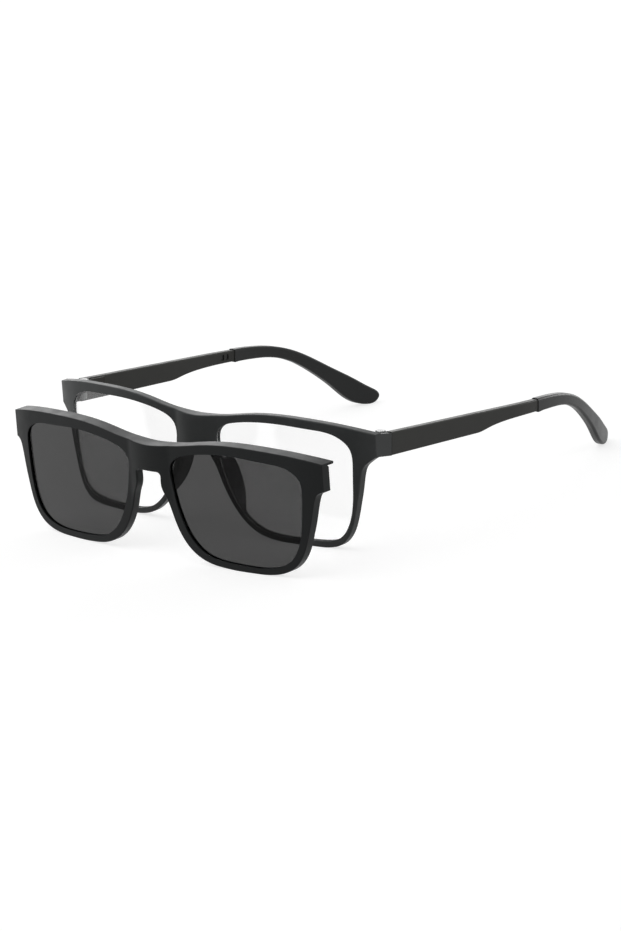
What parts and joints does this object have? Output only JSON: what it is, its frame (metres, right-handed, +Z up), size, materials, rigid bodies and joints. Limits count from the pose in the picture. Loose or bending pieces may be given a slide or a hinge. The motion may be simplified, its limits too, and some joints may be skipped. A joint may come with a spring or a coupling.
{
  "type": "eyeglass frame with magnetic clip-on",
  "caption": "Rectangular black plastic spectacle frame with clear lenses, folding temples and a tinted magnetic clip-on front shown taken off in front.",
  "frame": {"origin": "middle of the whole part's bounding box, frame and taken-off clip together, on the table that it stands on", "axes": "+X to the right across the face as seen in the picture, +Y from the fronts back along the temples, +Z up from the table"},
  "size_m": [0.1458, 0.1782, 0.0422],
  "materials": {
    "front_plastic": "satin black moulded plastic",
    "temple_plastic": "satin black moulded plastic",
    "tip_plastic": "soft matte black plastic",
    "clip_plastic": "satin black moulded plastic",
    "clear_lens": "clear polished lens",
    "tinted_lens": "grey tinted polished lens",
    "magnet_plating": "nickel plated",
    "hinge_metal": "dark satin steel",
    "screw_metal": "bright satin steel"
  },
  "bodies": {
    "frame": {"frame_front": "front_plastic", "frame_lens_left": "clear_lens", "frame_lens_right": "clear_lens", "frame_magnet_left": "magnet_plating", "frame_magnet_right": "magnet_plating", "magnet_plug_left": "front_plastic", "magnet_plug_right": "front_plastic", "hinge_front_leaf_left": "hinge_metal", "hinge_front_leaf_right": "hinge_metal", "hinge_screw_left": "screw_metal", "hinge_screw_right": "screw_metal", "front_leaf_screw_left": "screw_metal", "front_leaf_screw_right": "screw_metal"},
    "temple_right": {"temple_arm_right": "temple_plastic", "temple_tip_right": "tip_plastic", "hinge_temple_leaf_right": "hinge_metal", "temple_leaf_screws_right": "screw_metal"},
    "temple_left": {"temple_arm_left": "temple_plastic", "temple_tip_left": "tip_plastic", "hinge_temple_leaf_left": "hinge_metal", "temple_leaf_screws_left": "screw_metal"},
    "clip": {"clip_front": "clip_plastic", "clip_lens_left": "tinted_lens", "clip_lens_right": "tinted_lens", "clip_magnet_left": "magnet_plating", "clip_magnet_right": "magnet_plating"}
  },
  "joints": [
    {"name": "temple_right_fold", "type": "hinge", "parent": "frame", "child": "temple_right", "pos_m": [0.06335, -0.04157, 0.03484], "axis": [0, 0.1011, 0.9949], "range_deg": [0, 72]},
    {"name": "temple_left_fold", "type": "hinge", "parent": "frame", "child": "temple_left", "pos_m": [-0.06925, -0.04157, 0.03484], "axis": [0, -0.1011, -0.9949], "range_deg": [0, 84]},
    {"name": "clip_slide", "type": "slide", "parent": "frame", "child": "clip", "axis": [-0.2797, 0.9565, 0.0829], "range_m": [0, 0.02896]}
  ]
}
